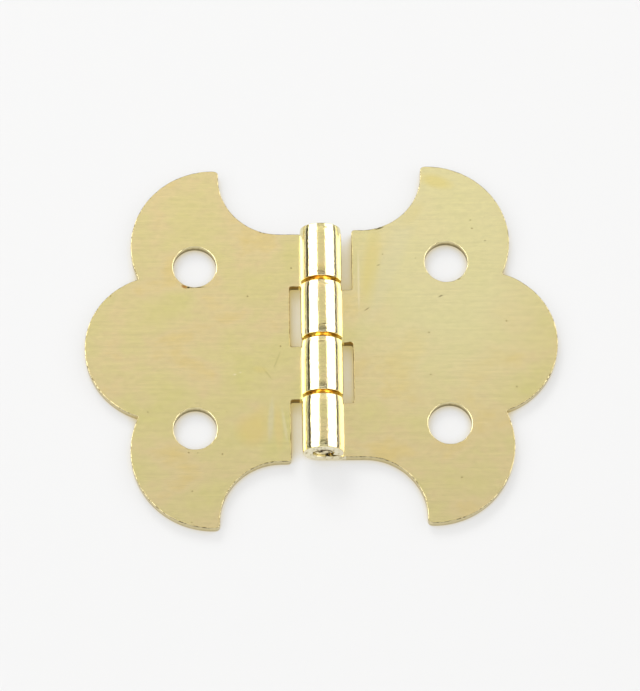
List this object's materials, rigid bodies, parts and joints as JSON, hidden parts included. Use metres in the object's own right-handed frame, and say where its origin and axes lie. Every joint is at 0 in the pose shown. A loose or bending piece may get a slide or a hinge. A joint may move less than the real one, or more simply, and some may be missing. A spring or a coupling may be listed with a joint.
{
  "type": "hinge",
  "caption": "Small scalloped butterfly hinge of brass plated sheet steel, with rolled knuckles on a plain pin and screw holes in both leaves.",
  "frame": {"origin": "under the middle of the pin, on the flat back of the leaves", "axes": "+Y along the pin, +X across the open leaves, +Z out of the front, where the knuckles stand"},
  "size_m": [0.0412, 0.0336, 0.0037],
  "materials": {
    "plated_leaf": "bright brass plating on finely brushed sheet steel",
    "plated_pin": "brass plated steel wire with bare sheared ends"
  },
  "bodies": {
    "left_leaf": {"left_leaf": "plated_leaf"},
    "right_leaf": {"right_leaf": "plated_leaf", "hinge_pin": "plated_pin"}
  },
  "joints": [
    {"name": "leaf_fold", "type": "hinge", "parent": "left_leaf", "child": "right_leaf", "pos_m": [0, 0, 0.00183], "axis": [0, -1, 0], "range_deg": [-110, 184]}
  ]
}
